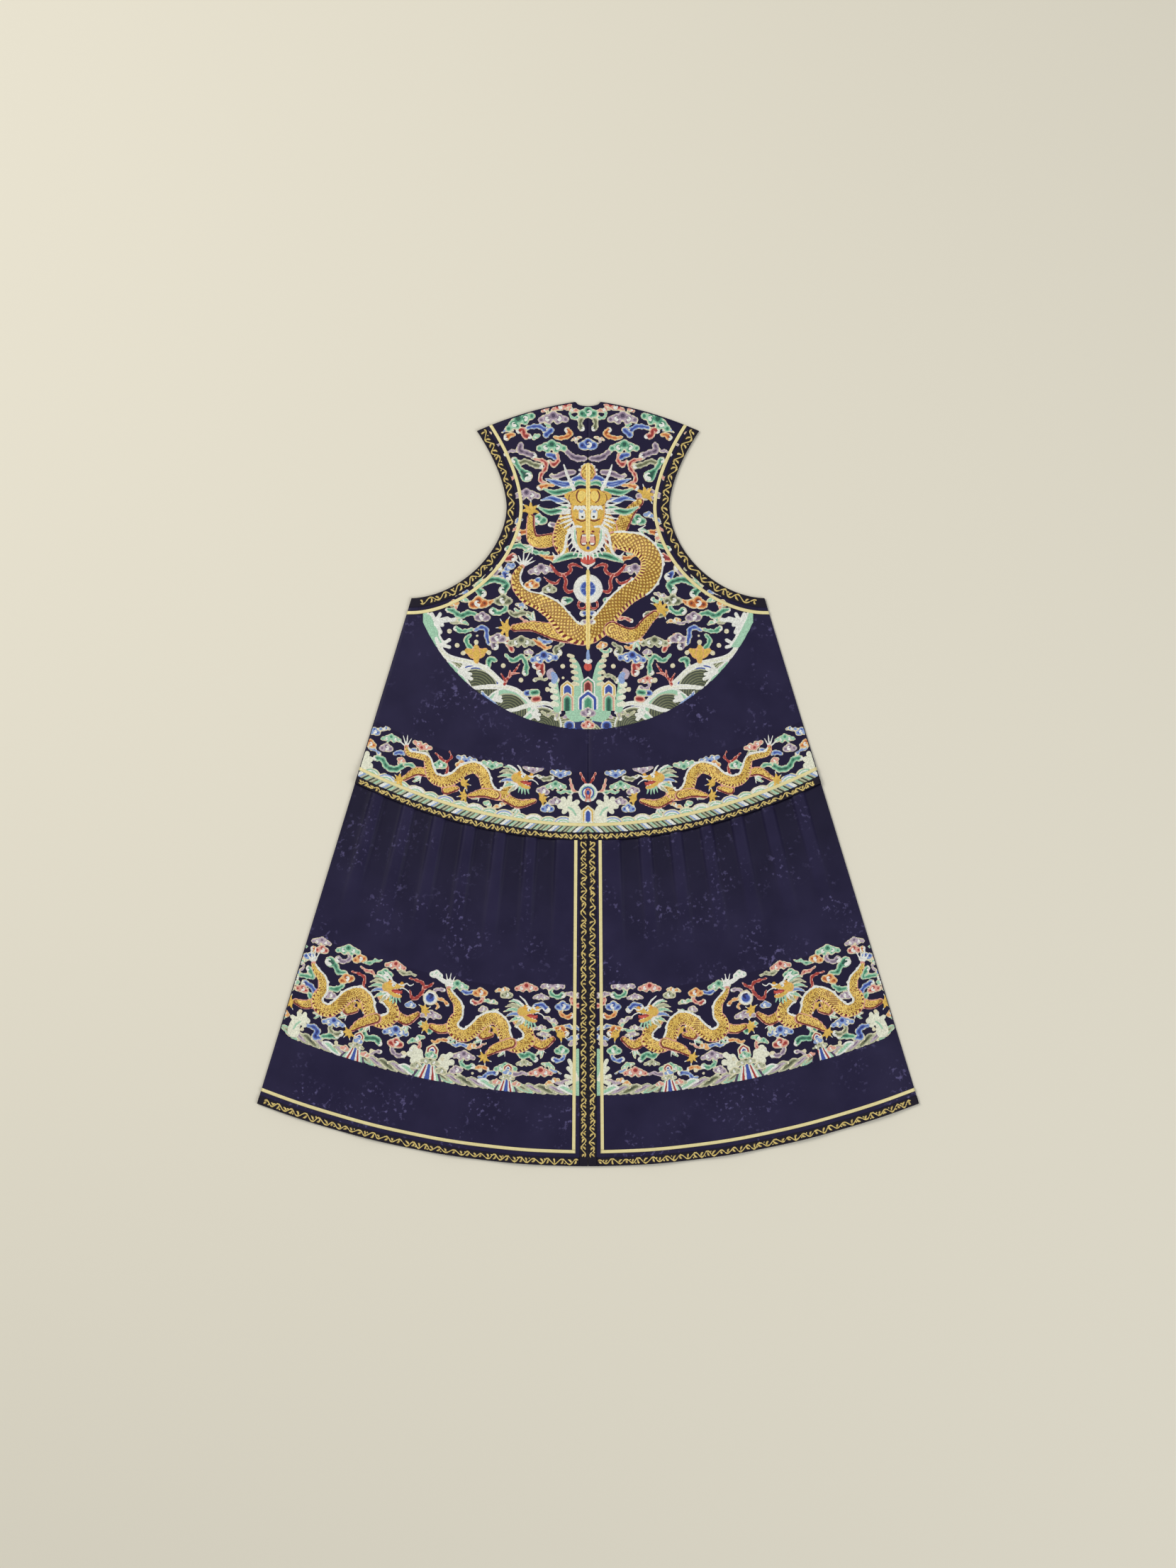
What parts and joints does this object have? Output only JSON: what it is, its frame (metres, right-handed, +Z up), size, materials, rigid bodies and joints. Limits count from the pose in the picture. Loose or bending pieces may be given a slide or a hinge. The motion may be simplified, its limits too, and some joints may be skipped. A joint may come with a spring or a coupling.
{
  "type": "sleeveless court vest",
  "caption": "Long sleeveless flared court vest laid flat, back up: embroidered yoke and bands, brocade edges, gold piping, pleated skirt with a centre vent.",
  "frame": {"origin": "on the surface the vest lies on, under the centre of its outline", "axes": "+Y from hem to neck along the centre back seam, +X to the viewer's right, +Z up from the surface"},
  "size_m": [1.204, 1.39, 0.0103],
  "materials": {
    "navy_satin": "dark indigo silk satin, slightly mottled, embroidered in floss and couched gold thread",
    "brocade_edging": "black silk brocade with woven gold scrolls",
    "gold_piping": "pale gold woven braid"
  },
  "bodies": {
    "root": {"front_bodice_left": "navy_satin", "front_bodice_right": "navy_satin", "front_skirt_left": "navy_satin", "front_skirt_right": "navy_satin", "back_bodice_left": "navy_satin", "back_bodice_right": "navy_satin", "back_skirt_left": "navy_satin", "back_skirt_right": "navy_satin", "armhole_edging_left": "brocade_edging", "armhole_edging_right": "brocade_edging", "armhole_piping_left": "gold_piping", "armhole_piping_right": "gold_piping", "vent_edging_left": "brocade_edging", "vent_edging_right": "brocade_edging", "vent_piping_left": "gold_piping", "vent_piping_right": "gold_piping", "hem_edging_left": "brocade_edging", "hem_edging_right": "brocade_edging", "hem_piping_left": "gold_piping", "hem_piping_right": "gold_piping", "waist_edging": "brocade_edging", "waist_piping": "gold_piping"}
  },
  "joints": []
}
